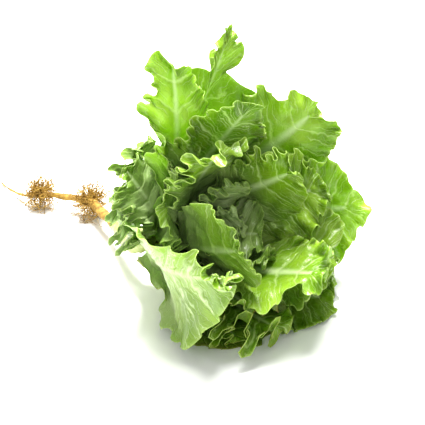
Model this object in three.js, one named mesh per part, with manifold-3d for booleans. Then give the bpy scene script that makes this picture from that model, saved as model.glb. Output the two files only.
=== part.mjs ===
// A head of curled loose-leaf lettuce pulled with its root, lying on its side.
// Sizes are in millimetres and angles in degrees. The root points to -X, the open
// head to +X, and the plant lies on the plane z = 0.

import * as THREE from "three";
import { mergeVertices } from "three/addons/utils/BufferGeometryUtils.js";
import Module from "manifold-3d";

const wasm = await Module();
wasm.setup();

// The head
const HEAD_TILT = 27;
const CROWN_HEIGHT = 48;
const CROWN = [0, 0, CROWN_HEIGHT];

// The stem inside the head
const STEM_RADIUS = 12;
const STEM_TIP_RADIUS = 5;
const STEM_LENGTH = 62;
const STEM_BUTT = 9;
const NODE_CLEARANCE = 0.3;

// The blade of a leaf
const BLADE_THICKNESS = 0.8;
const RIB_THICKNESS = 2.6;
const LEAF_FOOT = 7;
const FOOT_INSIDE_STEM = 2.5;
const WRAP_RADIUS = 15;
const WRAP_LENGTH = 22;
const RIB_REACH = 0.88;
const ROWS = 17;
const COLUMNS = [0, 0.6, 1];

// The room that leaves keep from each other
const LEAF_GAP = 3.3;
const GAP_REACH = 18;
const BEND_ROUNDS = 200;
const FLOOR_SOFTNESS = 14;
const LONGEST_SHOVE = 6;
const SHOVE_PACE = 0.7;
const SPREAD_SHARE = 0.4;

// Each leaf: place round the stem, height of its foot on the stem, opening of the
// rib from the head's axis at four points from foot to tip, length, half width and
// cupping, then what is unusual about it: outward flare of the margin, roll about
// the rib, height and number of the margin's waves, depth of the lobes, wider side,
// fullness towards the tip and towards the foot, narrowed tip, wrap of the foot
// round the stem, backward sweep of the wider side, and lowest height.
// The outermost leaf comes first and the innermost last.
const LEAVES = [
  { name: "leaf_01", around: 182, rise: 0, open: [44, 46, 45, 42], length: 176, half: 66, cup: 0.4,
    floor: 0.3 },
  { name: "leaf_02", around: 42, rise: 2, open: [30, 50, 72, 90], length: 80, half: 29, cup: 0.4,
    roll: 10 },
  { name: "leaf_03", around: 276, rise: 4, open: [38, 46, 49, 56], length: 206, half: 66, cup: 0.6 },
  { name: "leaf_04", around: 106, rise: 6, open: [32, 27, 22, 20], length: 190, half: 68, cup: -0.1,
    roll: -5, skew: 0.42, full: [0.45, 0.95], wave: 6, waves: 5, wrap: 0.12, sweep: 0.5 },
  { name: "leaf_05", around: 8, rise: 8, open: [46, 62, 74, 78], length: 104, half: 26, cup: 0.6,
    roll: -20, lobe: 1.5 },
  { name: "leaf_06", around: 228, rise: 10, open: [36, 43, 45, 48], length: 204, half: 68, cup: 0.6 },
  { name: "leaf_07", around: 155, rise: 12, open: [50, 52, 50, 48], length: 148, half: 44, cup: 0.3,
    skew: 0.15, wave: 6, floor: 0.3 },
  { name: "leaf_08", around: 206, rise: 14, open: [38, 44, 44, 43], length: 192, half: 66, cup: 0.5,
    wave: 10, waves: 7, floor: 0.3 },
  { name: "leaf_09", around: 340, rise: 16, open: [44, 46, 49, 55], length: 222, half: 58, cup: 0.4,
    roll: -35, skew: -0.4, full: [1.1, 0.6], waist: [0.82, 0.6] },
  { name: "leaf_10", around: 20, rise: 18, open: [30, 60, 90, 102], length: 110, half: 34, cup: 0.4,
    lobe: 1.2 },
  { name: "leaf_11", around: 300, rise: 20, open: [28, 31, 33, 40], length: 212, half: 54, cup: 0.5,
    roll: -15, wave: 9 },
  { name: "leaf_12", around: 246, rise: 22, open: [28, 31, 33, 43], length: 206, half: 64, cup: 0.6,
    roll: 20 },
  { name: "leaf_13", around: 4, rise: 24, open: [43, 48, 60, 68], length: 206, half: 29, cup: 0.5,
    roll: -42, lobe: 1.6 },
  { name: "leaf_14", around: 164, rise: 26, open: [30, 37, 41, 41], length: 158, half: 57, cup: 0.5,
    wave: 10, waves: 7 },
  { name: "leaf_15", around: 224, rise: 28, open: [23, 29, 32, 38], length: 180, half: 60, cup: 0.6 },
  { name: "leaf_16", around: 344, rise: 30, open: [26, 33, 36, 34], length: 172, half: 46, cup: 0.5,
    roll: -20 },
  { name: "leaf_17", around: 146, rise: 31, open: [26, 34, 38, 41], length: 142, half: 56, cup: 0.6,
    wave: 9 },
  { name: "leaf_18", around: 262, rise: 33, open: [18, 23, 26, 34], length: 164, half: 56, cup: 0.7,
    wave: 10, waves: 7 },
  { name: "leaf_19", around: 50, rise: 34, open: [16, 26, 44, 68], length: 108, half: 39, cup: 0.5 },
  { name: "leaf_20", around: 190, rise: 36, open: [18, 23, 26, 32], length: 168, half: 57, cup: 0.6 },
  { name: "leaf_21", around: 20, rise: 38, open: [18, 26, 34, 42], length: 138, half: 48, cup: 0.5,
    roll: -30 },
  { name: "leaf_22", around: 104, rise: 40, open: [14, 17, 18, 18], length: 134, half: 52, cup: 0.7,
    wave: 4, lobe: 0.5 },
  { name: "leaf_23", around: 296, rise: 42, open: [13, 19, 21, 22], length: 146, half: 47, cup: 0.8,
    wave: 5, lobe: 0.6 },
  { name: "leaf_24", around: 160, rise: 45, open: [11, 17, 21, 28], length: 104, half: 44, cup: 0.8 },
  { name: "leaf_25", around: 215, rise: 47, open: [11, 17, 21, 28], length: 92, half: 42, cup: 0.8 },
  { name: "leaf_26", around: 344, rise: 50, open: [9, 13, 16, 23], length: 90, half: 36, cup: 0.9 },
];
const LEAF_USUAL = {
  roll: 0, flare: 0.25, wave: 8, waves: 6, lobe: 0.8, skew: 0, full: [1.25, 0.5], waist: [0.8, 0],
  wrap: 1, sweep: 0, floor: 1.2,
};

// The small leaves of the heart
const HEART_LEAVES = [
  { around: 70, rise: 56, open: [3, 7, 8, 14], length: 62, half: 30, cup: 1.1, wave: 5, waves: 5 },
  { around: 190, rise: 56, open: [3, 7, 8, 14], length: 66, half: 30, cup: 1.1, wave: 5, waves: 5 },
  { around: 310, rise: 56, open: [3, 7, 8, 14], length: 60, half: 30, cup: 1.1, wave: 5, waves: 5 },
];

function radians(degrees) {
  return (degrees * Math.PI) / 180;
}

function vec(a) {
  return new THREE.Vector3(a[0], a[1], a[2]);
}

const AXIS = vec([Math.cos(radians(HEAD_TILT)), 0, Math.sin(radians(HEAD_TILT))]);
const UP = vec([-Math.sin(radians(HEAD_TILT)), 0, Math.cos(radians(HEAD_TILT))]);
const FRONT = vec([0, -1, 0]);

// A smooth step from 0 at a to 1 at b
function step(a, b, x) {
  const t = Math.min(1, Math.max(0, (x - a) / (b - a)));
  return t * t * (3 - 2 * t);
}

// A steady scatter of angles that differs from leaf to leaf
function scatter(seed, k) {
  const v = Math.sin(seed * 12.9898 + k * 78.233) * 43758.5453;
  return (v - Math.floor(v)) * 2 * Math.PI;
}

function stemRadius(along) {
  return STEM_RADIUS + (STEM_TIP_RADIUS - STEM_RADIUS) * step(0, STEM_LENGTH, along);
}

// The rib's line in the plane through the head's axis: out from the axis, along
// it, and its opening, at even steps of length
const RIB_STEPS = 96;
const RIB_OVERRUN = 1.15;
const OPENING_PLACES = [0, 1 / 3, 2 / 3, 1, 1.3];
const OPENING_SMOOTHING = 6;

function ribLine(leaf) {
  const open = leaf.open.map(radians);
  open.push(open[3] + (open[3] - open[2]) * 0.5);
  const raw = [];
  for (let i = 0; i < RIB_STEPS; i += 1) {
    const q = (RIB_OVERRUN * i) / (RIB_STEPS - 1);
    let k = 0;
    while (k < 3 && q > OPENING_PLACES[k + 1]) {
      k += 1;
    }
    const f = (q - OPENING_PLACES[k]) / (OPENING_PLACES[k + 1] - OPENING_PLACES[k]);
    raw.push(open[k] + (open[k + 1] - open[k]) * f);
  }
  const line = { angle: [], out: [], along: [] };
  let out = stemRadius(leaf.rise) - FOOT_INSIDE_STEM;
  let along = leaf.rise;
  const ds = (leaf.length * RIB_OVERRUN) / (RIB_STEPS - 1);
  for (let i = 0; i < RIB_STEPS; i += 1) {
    let sum = 0;
    for (let k = -OPENING_SMOOTHING; k <= OPENING_SMOOTHING; k += 1) {
      sum += raw[Math.min(RIB_STEPS - 1, Math.max(0, i + k))];
    }
    const angle = sum / (2 * OPENING_SMOOTHING + 1);
    line.angle.push(angle);
    line.out.push(out);
    line.along.push(along);
    out += Math.sin(angle) * ds;
    along += Math.cos(angle) * ds;
  }
  line.at = (list, y) => {
    const x = Math.min(RIB_STEPS - 1.001, Math.max(0, y / ds));
    const i = Math.floor(x);
    return list[i] + (list[i + 1] - list[i]) * (x - i);
  };
  return line;
}

// A point of the leaf's middle surface: beta goes from 0 at the foot to pi at the
// tip, r from 0 on the rib to 1 on the margin, and side is -1 or 1
function leafPoint(leaf, line, beta, r, side) {
  const L = leaf.length;
  const W = leaf.half;
  const s = Math.sin(beta / 2);
  const c = Math.max(0, Math.cos(beta / 2));
  const m = side * (1 - beta / Math.PI);
  const ph = (k) => scatter(leaf.seed, k);
  const [a, b] = leaf.full;
  const peak = (a / (a + b)) ** a * (b / (a + b)) ** b;
  const yMargin = L * s * s;
  const wide = (W * (1 + side * leaf.skew) * s ** (2 * a) * c ** (2 * b)) / peak;
  const [waistPlace, waistShare] = leaf.waist;
  const beyondWaist = waistShare * step(waistPlace - 0.12, waistPlace, yMargin / L);
  const notch = 0.4 * waistShare * Math.exp(-(((yMargin / L - waistPlace) / 0.06) ** 2));
  const narrow = 1 - beyondWaist - notch;
  const slow = 0.06 + 0.06 * Math.sin(11 * m + ph(0));
  const quick = 0.05 + 0.05 * Math.sin(23 * m + ph(1) + Math.sin(5 * m));
  const lobe = -leaf.lobe * (slow + quick) * s ** 1.5;
  const xm = (LEAF_FOOT * c + wide) * narrow * (1 + lobe);
  const ym = L / 2 + (yMargin - L / 2) * (1 + lobe * step(0.3, 1, yMargin / L));
  const foot = RIB_REACH * L * (yMargin / L) ** 1.35;
  let x = side * r * xm;
  let y = foot + (ym - foot) * r ** 1.1;
  const wander = 0.06 * Math.sin(5.1 * m + ph(3)) + 0.03 * Math.sin(9.3 * m + ph(4));
  const phase = 2 * Math.PI * leaf.waves * (m + wander) + ph(5);
  const strength = (0.8 + 0.35 * Math.sin(4.3 * m + ph(6))) * step(0.15, 0.75, s);
  const reach = step(0.35, 1.05, r) ** 1.3;
  const swell = leaf.wave * strength * reach * Math.sin(phase);
  const slip = -0.34 * leaf.wave * strength * reach * Math.sin(2 * phase);
  x -= slip * Math.cos(beta);
  y -= slip * side * Math.sin(beta);
  y -= leaf.sweep * Math.max(0, x) * (1 - step(0, 1, y / L));
  const psi = line.at(line.angle, y);
  const q = Math.max(0, y) / L;
  const wrap = (leaf.wrap / WRAP_RADIUS) * Math.exp(-Math.max(0, y) / WRAP_LENGTH);
  const bend = leaf.cup / W + wrap;
  const turn = bend * x;
  const across = Math.sin(turn) / bend;
  const flare = leaf.flare * W * Math.min(1.4, Math.abs(x) / W) ** 3.2;
  const lift = (1 - Math.cos(turn)) / bend - flare;
  const sway = 3 * Math.sin(2.2 * Math.PI * q + ph(12)) * step(0.1, 0.5, q);
  const X = across - (swell + sway) * Math.sin(turn);
  const Z = lift + (swell + sway) * Math.cos(turn);
  const roll = radians(leaf.roll) * step(0, 0.75, q);
  const A = X * Math.cos(roll) - Z * Math.sin(roll);
  const B = X * Math.sin(roll) + Z * Math.cos(roll);
  const th = radians(leaf.around);
  const out = UP.clone().multiplyScalar(Math.cos(th)).addScaledVector(FRONT, Math.sin(th));
  const sideways = AXIS.clone().cross(out);
  const inward = AXIS.clone().multiplyScalar(Math.sin(psi)).addScaledVector(out, -Math.cos(psi));
  const p = vec(CROWN);
  p.addScaledVector(AXIS, line.at(line.along, y) + Math.min(0, y));
  p.addScaledVector(out, line.at(line.out, y));
  p.addScaledVector(sideways, A);
  p.addScaledVector(inward, B);
  return p;
}

// A leaf held as a grid of points; the tip row is shared by both sides
function leafGrid(leaf) {
  const line = ribLine(leaf);
  const rows = [];
  for (let j = 0; j <= ROWS; j += 1) {
    if (j !== 1) {
      rows.push(j);
    }
  }
  const R = COLUMNS.length - 1;
  const across = 2 * R + 1;
  const points = [];
  for (const j of rows) {
    const beta = (Math.PI * j) / ROWS;
    for (let c = -R; c <= R; c += 1) {
      const r = COLUMNS[Math.abs(c)];
      points.push(leafPoint(leaf, line, beta, r, c < 0 ? -1 : 1));
    }
  }
  const index = (j, c) => (j === rows.length - 1 ? j * across + R - Math.abs(c - R) : j * across + c);
  const faces = [];
  for (let j = 0; j < rows.length - 1; j += 1) {
    for (let c = 0; c < across - 1; c += 1) {
      const a = index(j, c);
      const b = index(j, c + 1);
      const d = index(j + 1, c);
      const e = index(j + 1, c + 1);
      if (c < R) {
        faces.push([a, b, e], [a, e, d]);
      } else {
        faces.push([a, b, d], [b, e, d]);
      }
    }
  }
  const rim = [];
  for (let j = 0; j < rows.length; j += 1) {
    rim.push(index(j, 0));
  }
  for (let j = rows.length - 2; j >= 0; j -= 1) {
    rim.push(index(j, across - 1));
  }
  for (let c = across - 2; c > 0; c -= 1) {
    rim.push(index(0, c));
  }
  const used = faces.flat();
  const near = points.map(() => new Set());
  for (const [a, b, c] of faces) {
    near[a].add(b).add(c);
    near[b].add(a).add(c);
    near[c].add(a).add(b);
  }
  return { leaf, rows, R, across, points, faces, rim, near, used: [...new Set(used)] };
}

function setNormals(grid) {
  grid.normals = grid.points.map(() => new THREE.Vector3());
  const u = new THREE.Vector3();
  const v = new THREE.Vector3();
  for (const [a, b, c] of grid.faces) {
    u.subVectors(grid.points[b], grid.points[a]);
    v.subVectors(grid.points[c], grid.points[a]);
    u.cross(v);
    grid.normals[a].add(u);
    grid.normals[b].add(u);
    grid.normals[c].add(u);
  }
  for (const n of grid.normals) {
    n.normalize();
  }
}

// Leaves that lie on the ground flatten against it
function settle(grid) {
  const low = grid.leaf.floor;
  for (const p of grid.points) {
    if (p.z < low + FLOOR_SOFTNESS) {
      const depth = (p.z - low - FLOOR_SOFTNESS) / FLOOR_SOFTNESS;
      p.z = low + FLOOR_SOFTNESS * Math.exp(depth);
    }
  }
}

const grids = [];
[...LEAVES, ...HEART_LEAVES].forEach((row, k) => {
  const leaf = { ...LEAF_USUAL, ...row, seed: 3 + k };
  const grid = leafGrid(leaf);
  settle(grid);
  grids.push(grid);
});

// Each leaf is bent clear of the leaves outside it: where a point lies behind or
// close to an outer leaf, the two are moved apart and the move is spread smoothly
function spread(grid) {
  const moves = grid.move;
  const next = moves.map((m) => m.clone());
  for (const i of grid.used) {
    const mean = new THREE.Vector3();
    for (const k of grid.near[i]) {
      mean.add(moves[k]);
    }
    mean.divideScalar(grid.near[i].size);
    next[i].lerp(mean, SPREAD_SHARE);
  }
  grid.move = next;
}

function bendClear() {
  const d = new THREE.Vector3();
  for (const grid of grids) {
    grid.start = grid.points.map((p) => p.clone());
    grid.move = grid.points.map(() => new THREE.Vector3());
  }
  for (let round = 0; round < BEND_ROUNDS; round += 1) {
    for (const grid of grids) {
      setNormals(grid);
      grid.box = new THREE.Box3().setFromPoints(grid.points).expandByScalar(LEAF_GAP);
      grid.push = grid.points.map(() => new THREE.Vector3());
      grid.hits = grid.points.map(() => 0);
    }
    for (let o = 0; o < grids.length; o += 1) {
      const outer = grids[o];
      for (let n = o + 1; n < grids.length; n += 1) {
        const inner = grids[n];
        if (!outer.box.intersectsBox(inner.box)) {
          continue;
        }
        for (const i of inner.used) {
          const p = inner.points[i];
          let best = GAP_REACH * GAP_REACH;
          let found = -1;
          for (const k of outer.used) {
            const dist = p.distanceToSquared(outer.points[k]);
            if (dist < best) {
              best = dist;
              found = k;
            }
          }
          if (found < 0) {
            continue;
          }
          const normal = outer.normals[found];
          const ahead = -d.subVectors(p, outer.points[found]).dot(normal);
          const lack = LEAF_GAP - ahead;
          if (lack > 0) {
            const share = Math.min(lack, LONGEST_SHOVE) / 2;
            inner.push[i].addScaledVector(normal, -share);
            inner.hits[i] += 1;
            outer.push[found].addScaledVector(normal, share);
            outer.hits[found] += 1;
          }
        }
      }
    }
    for (const grid of grids) {
      for (const i of grid.used) {
        if (grid.hits[i] > 0) {
          grid.move[i].addScaledVector(grid.push[i], SHOVE_PACE / grid.hits[i]);
        }
      }
      spread(grid);
      for (const i of grid.used) {
        grid.points[i].addVectors(grid.start[i], grid.move[i]);
        if (grid.points[i].z < grid.leaf.floor) {
          grid.points[i].z = grid.leaf.floor;
        }
      }
    }
  }
}

bendClear();

// The solid of a leaf: the same triangles on both faces, thicker along the rib
function thicknessAt(grid, i) {
  const row = Math.floor(i / grid.across);
  const c = Math.abs((i % grid.across) - grid.R);
  const q = grid.rows[row] / ROWS;
  const rib = RIB_THICKNESS * (1 - 0.55 * q);
  if (c === 0) {
    return rib;
  }
  const broad = 1 - step(0, 0.35, q);
  return BLADE_THICKNESS + (rib - BLADE_THICKNESS) * broad * (c === 1 ? 0.9 : 0.5);
}

function leafSolid(grid, extra) {
  setNormals(grid);
  const n = grid.points.length;
  const coords = new Float32Array(n * 6);
  const middle = grid.points.map((p) => p.clone());
  for (const i of grid.rim) {
    const mean = new THREE.Vector3();
    for (const k of grid.near[i]) {
      mean.addScaledVector(grid.points[k], 1 / grid.near[i].size);
    }
    const outward = grid.points[i].clone().sub(mean);
    outward.addScaledVector(grid.normals[i], -outward.dot(grid.normals[i])).normalize();
    middle[i].addScaledVector(outward, extra);
  }
  const p = new THREE.Vector3();
  for (let i = 0; i < n; i += 1) {
    const half = thicknessAt(grid, i) / 2 + extra;
    p.copy(middle[i]).addScaledVector(grid.normals[i], half);
    p.toArray(coords, i * 3);
    p.copy(middle[i]).addScaledVector(grid.normals[i], -half);
    p.toArray(coords, (n + i) * 3);
  }
  const tris = [];
  for (const [a, b, c] of grid.faces) {
    tris.push(a, b, c);
    tris.push(n + a, n + c, n + b);
  }
  const rim = grid.rim;
  for (let k = 0; k < rim.length; k += 1) {
    const a = rim[k];
    const b = rim[(k + 1) % rim.length];
    tris.push(a, b, n + b);
    tris.push(a, n + b, n + a);
  }
  return solidOf(coords, tris);
}

function solidOf(coords, tris) {
  const remap = new Map();
  const kept = [];
  const out = [];
  for (const t of tris) {
    if (!remap.has(t)) {
      remap.set(t, kept.length / 3);
      kept.push(coords[t * 3], coords[t * 3 + 1], coords[t * 3 + 2]);
    }
    out.push(remap.get(t));
  }
  const mesh = new wasm.Mesh({
    numProp: 3,
    vertProperties: new Float32Array(kept),
    triVerts: new Uint32Array(out),
  });
  return new wasm.Manifold(mesh);
}

// A solid rod along a line of points, with a radius at each point
function rod(line, radii, sides, extra) {
  const coords = [];
  const tris = [];
  const last = line.length - 1;
  let u = new THREE.Vector3(0, 0, 1);
  line.forEach((p, i) => {
    const t = line[Math.min(last, i + 1)].clone().sub(line[Math.max(0, i - 1)]).normalize();
    if (Math.abs(t.dot(u)) > 0.95) {
      u.set(0, 1, 0);
    }
    u = u.clone().addScaledVector(t, -u.dot(t)).normalize();
    const v = t.clone().cross(u);
    for (let k = 0; k < sides; k += 1) {
      const turn = (2 * Math.PI * k) / sides;
      const q = p.clone();
      q.addScaledVector(u, Math.cos(turn) * (radii[i] + extra));
      q.addScaledVector(v, Math.sin(turn) * (radii[i] + extra));
      coords.push(q.x, q.y, q.z);
    }
  });
  for (let i = 0; i < last; i += 1) {
    for (let k = 0; k < sides; k += 1) {
      const a = i * sides + k;
      const b = i * sides + ((k + 1) % sides);
      tris.push(a, b, b + sides);
      tris.push(a, b + sides, a + sides);
    }
  }
  for (let k = 1; k < sides - 1; k += 1) {
    tris.push(0, k + 1, k);
    tris.push(last * sides, last * sides + k, last * sides + k + 1);
  }
  return solidOf(coords, tris);
}

// A smooth line through a few points, with evenly changing radii
function course(points, radii, count) {
  const curve = new THREE.CatmullRomCurve3(points);
  const line = [];
  const sizes = [];
  for (let i = 0; i <= count; i += 1) {
    const t = i / count;
    line.push(curve.getPoint(t));
    const x = t * (radii.length - 1);
    const k = Math.min(radii.length - 2, Math.floor(x));
    sizes.push(radii[k] + (radii[k + 1] - radii[k]) * (x - k));
  }
  return { line, sizes };
}

function fromCrown(x, y, z) {
  return vec(CROWN).add(new THREE.Vector3(x, y, z));
}

function upAxis(along) {
  return vec(CROWN).addScaledVector(AXIS, along);
}

// The stem: a short thick crown that the leaves grow from, narrowing to its
// growing tip, and a pale neck that runs down to the root
const CROWN_SIDES = 12;
const NECK_END = [-62, 37, -17];

function stemSolid(extra) {
  const line = [];
  const radii = [];
  const steps = 8;
  for (let i = 0; i <= steps; i += 1) {
    const along = STEM_LENGTH - (STEM_LENGTH * i) / steps;
    line.push(upAxis(along));
    radii.push(stemRadius(along));
  }
  line[0] = upAxis(STEM_LENGTH + extra);
  const neck = course(
    [upAxis(0), upAxis(-STEM_BUTT), fromCrown(-24, 9, -10), fromCrown(-42, 22, -14), fromCrown(...NECK_END)],
    [STEM_RADIUS, 11.5, 9.5, 7.5, 6.5],
    10,
  );
  line.push(...neck.line.slice(1));
  radii.push(...neck.sizes.slice(1));
  if (extra > 0) {
    const end = line[line.length - 1];
    const back = end.clone().sub(line[line.length - 2]).normalize();
    end.addScaledVector(back, extra);
  }
  return rod(line, radii, CROWN_SIDES, extra);
}

// The root: a bent taproot with a thin tail and two tufts of fine curled strands
const ROOT_LINE = [
  [-58, 34, -16.5],
  [-96, 58, -23],
  [-136, 80, -27],
  [-168, 78, -30],
  [-199, 66, -28],
  [-226, 66, -38],
  [-262, 78, -44.5],
  [-288, 88, -45.5],
];
const ROOT_RADII = [6.2, 5.4, 4.6, 3.4, 3.4, 1.7, 1.2, 0.9];
const TUFTS = [
  { at: [-134, 79, -25], reach: 24, strands: 13 },
  { at: [-199, 67, -27], reach: 22, strands: 11 },
];
const STRAND_RADIUS = 1;
const STRAND_STEPS = 5;
const GROUND_ROOM = 1.3;

function strandLine(tuft, k, seed) {
  const home = fromCrown(...tuft.at);
  const turn = scatter(seed, k);
  const tilt = Math.cos(scatter(seed + 1, k)) * 0.9;
  const heading = new THREE.Vector3(Math.cos(turn), Math.sin(turn), tilt).normalize();
  const swing = new THREE.Vector3(Math.cos(scatter(seed + 2, k)), Math.sin(scatter(seed + 2, k)), 0.4);
  swing.cross(heading).normalize();
  const start = Math.cos(scatter(seed + 3, k)) * 9;
  const line = [];
  const radii = [];
  const curl = 1.5 + 1.1 * Math.cos(scatter(seed + 4, k));
  for (let i = 0; i <= STRAND_STEPS; i += 1) {
    const f = i / STRAND_STEPS;
    const p = home.clone();
    p.x += start * (1 - f);
    p.addScaledVector(heading, tuft.reach * Math.sin(f * curl));
    p.addScaledVector(swing, tuft.reach * 0.8 * (1 - Math.cos(f * curl)));
    p.z = Math.max(p.z, GROUND_ROOM);
    line.push(p);
    radii.push(STRAND_RADIUS * (1 - 0.25 * f));
  }
  return { line, radii };
}

function rootSolid(extra) {
  const tap = course(ROOT_LINE.map((p) => fromCrown(...p)), ROOT_RADII, 20);
  let body = rod(tap.line, tap.sizes, 7, extra);
  TUFTS.forEach((tuft, n) => {
    for (let k = 0; k < tuft.strands; k += 1) {
      const strand = strandLine(tuft, k + 1, 40 + 10 * n);
      body = body.add(rod(strand.line, strand.radii, 3, extra));
    }
  });
  return body;
}

// The heart: small upright leaves fused on a short core over the stem's tip
const HEART_GAP = 0.6;
const HEART_CORE = 30;

function heartSolid() {
  const core = course(
    [upAxis(STEM_LENGTH + HEART_GAP), upAxis(STEM_LENGTH + 12), upAxis(STEM_LENGTH + HEART_CORE)],
    [5, 7, 2.5],
    6,
  );
  let body = rod(core.line, core.sizes, 10, 0);
  for (const grid of grids.slice(LEAVES.length)) {
    body = body.add(leafSolid(grid, 0));
  }
  return body;
}

// Everything below the ground is cut off flat
function groundSolid() {
  const block = new THREE.BoxGeometry(1000, 1000, 60);
  block.translate(0, 0, -30);
  block.deleteAttribute("normal");
  block.deleteAttribute("uv");
  const merged = mergeVertices(block);
  return solidOf(merged.attributes.position.array, merged.index.array);
}

// The largest piece of a cut solid; loose scraps are dropped
function mainPiece(solid) {
  const pieces = solid.decompose();
  let best = pieces[0];
  for (const piece of pieces) {
    if (piece.volume() > best.volume()) {
      best = piece;
    }
  }
  return best;
}

const ground = groundSolid();
const stem = stemSolid(0);
const stemWide = stemSolid(NODE_CLEARANCE);
const rootWide = rootSolid(NODE_CLEARANCE);
const root = mainPiece(rootSolid(0).subtract(stemWide).subtract(ground));
let heart = mainPiece(heartSolid().subtract(stemWide));

const leaves = grids.slice(0, LEAVES.length).map((grid) => {
  const solid = leafSolid(grid, 0).subtract(stemWide).subtract(rootWide).subtract(ground);
  return { name: grid.leaf.name, solid: mainPiece(solid), wide: leafSolid(grid, NODE_CLEARANCE) };
});

// Where two leaves still meet, the one that loses less is trimmed back
for (let i = 0; i < leaves.length; i += 1) {
  for (let k = i + 1; k < leaves.length; k += 1) {
    if (leaves[i].solid.intersect(leaves[k].wide).volume() === 0) {
      continue;
    }
    const one = mainPiece(leaves[i].solid.subtract(leaves[k].wide).subtract(leaves[k].solid));
    const other = mainPiece(leaves[k].solid.subtract(leaves[i].wide).subtract(leaves[i].solid));
    const lossOne = 1 - one.volume() / leaves[i].solid.volume();
    const lossOther = 1 - other.volume() / leaves[k].solid.volume();
    if (lossOne < lossOther) {
      leaves[i].solid = one;
    } else {
      leaves[k].solid = other;
    }
  }
}
for (const leaf of leaves) {
  heart = mainPiece(heart.subtract(leaf.wide).subtract(leaf.solid));
}

// The pieces, moved so that the middle of the plant's footprint is at x = y = 0
const LEAF_GREEN = 0x8fbe3a;
const HEART_GREEN = 0x8fb84e;
const STEM_CREAM = 0xdfe9b4;
const ROOT_TAN = 0xa8823f;

const pieces = [
  { name: "stem", solid: stem, colour: STEM_CREAM, roughness: 0.45 },
  { name: "root", solid: root, colour: ROOT_TAN, roughness: 0.85 },
  { name: "heart", solid: heart, colour: HEART_GREEN, roughness: 0.5 },
];
for (const leaf of leaves) {
  pieces.push({ name: leaf.name, solid: leaf.solid, colour: LEAF_GREEN, roughness: 0.5 });
}

const group = new THREE.Group();
for (const piece of pieces) {
  const data = piece.solid.getMesh();
  const geometry = new THREE.BufferGeometry();
  geometry.setAttribute("position", new THREE.BufferAttribute(data.vertProperties.slice(), 3));
  geometry.setIndex(new THREE.BufferAttribute(data.triVerts.slice(), 1));
  const material = new THREE.MeshStandardMaterial({
    color: piece.colour,
    roughness: piece.roughness,
    metalness: 0,
    side: THREE.DoubleSide,
  });
  const mesh = new THREE.Mesh(geometry, material);
  mesh.name = piece.name;
  group.add(mesh);
}
const footprint = new THREE.Box3().setFromObject(group);
const middle = footprint.getCenter(new THREE.Vector3());
for (const mesh of group.children) {
  mesh.geometry.translate(-middle.x, -middle.y, -footprint.min.z);
}

export default group;
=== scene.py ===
import math

import bpy
import numpy as np
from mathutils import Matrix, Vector


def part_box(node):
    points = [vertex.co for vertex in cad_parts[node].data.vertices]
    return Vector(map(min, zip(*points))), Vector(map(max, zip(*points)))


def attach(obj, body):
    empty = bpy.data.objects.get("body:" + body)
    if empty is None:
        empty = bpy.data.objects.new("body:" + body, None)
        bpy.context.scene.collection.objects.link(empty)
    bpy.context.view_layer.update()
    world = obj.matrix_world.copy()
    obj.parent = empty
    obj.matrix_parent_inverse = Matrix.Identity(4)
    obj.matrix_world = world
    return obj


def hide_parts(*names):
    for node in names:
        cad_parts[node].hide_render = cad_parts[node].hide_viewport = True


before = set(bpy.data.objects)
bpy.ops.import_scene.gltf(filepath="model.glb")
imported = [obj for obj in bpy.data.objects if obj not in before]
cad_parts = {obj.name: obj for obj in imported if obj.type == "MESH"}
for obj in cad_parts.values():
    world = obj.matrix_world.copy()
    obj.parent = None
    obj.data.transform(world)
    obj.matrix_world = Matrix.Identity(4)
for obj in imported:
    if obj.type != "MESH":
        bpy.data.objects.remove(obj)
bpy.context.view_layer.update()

world_scene = bpy.context.scene
world_scene.view_settings.view_transform = "Standard"
world_scene.view_settings.look = "Medium High Contrast"

# The view is from in front of the open head, turned to its left and a little
# from above, so that the root runs away to the left.
CAMERA_AZIMUTH = math.radians(-58)
CAMERA_ELEVATION = math.radians(28)
CAMERA_DISTANCE = 0.83
CAMERA_LENS = 70
AIM_FROM_CROWN = Vector((0.054, 0.049, 0.025))

HEAD_TILT = math.radians(27)
CROWN_HEIGHT = 48.0
STEM_LENGTH = 62.0
STEM_RADIUS = 12.0
STEM_TIP_RADIUS = 5.0
stem_low, stem_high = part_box("stem")
CROWN = np.array([
    stem_high[0] * 1000 - STEM_LENGTH * math.cos(HEAD_TILT) - STEM_TIP_RADIUS * math.sin(HEAD_TILT),
    stem_low[1] * 1000 + STEM_RADIUS,
    CROWN_HEIGHT,
])

camera_data = bpy.data.cameras.new("camera")
camera_data.lens = CAMERA_LENS
camera_data.sensor_width = 36
camera = bpy.data.objects.new("camera", camera_data)
world_scene.collection.objects.link(camera)
toward_camera = Vector((
    math.cos(CAMERA_ELEVATION) * math.cos(CAMERA_AZIMUTH),
    math.cos(CAMERA_ELEVATION) * math.sin(CAMERA_AZIMUTH),
    math.sin(CAMERA_ELEVATION),
))
camera.location = Vector(CROWN * 0.001) + AIM_FROM_CROWN + toward_camera * CAMERA_DISTANCE
camera.rotation_mode = "QUATERNION"
camera.rotation_quaternion = toward_camera.to_track_quat("Z", "Y")
world_scene.camera = camera


# The stem is the short pale butt that the leaves grow from, with a neck that
# runs down to the root. It is smooth, watery flesh, ringed by old leaf scars.
AXIS = np.array([math.cos(HEAD_TILT), 0.0, math.sin(HEAD_TILT)])
UP = np.array([-math.sin(HEAD_TILT), 0.0, math.cos(HEAD_TILT)])
FRONT = np.array([0.0, -1.0, 0.0])
STEM_BUTT = 9.0
NECK_END = (-62, 37, -17)
STEM_SIDES = 40


def step(a, b, x):
    t = np.clip((x - a) / (b - a), 0, 1)
    return t * t * (3 - 2 * t)


def scatter(seed, k):
    v = math.sin(seed * 12.9898 + k * 78.233) * 43758.5453
    return (v - math.floor(v)) * 2 * math.pi


def stem_radius(along):
    return STEM_RADIUS + (STEM_TIP_RADIUS - STEM_RADIUS) * step(0, STEM_LENGTH, along)


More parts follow.
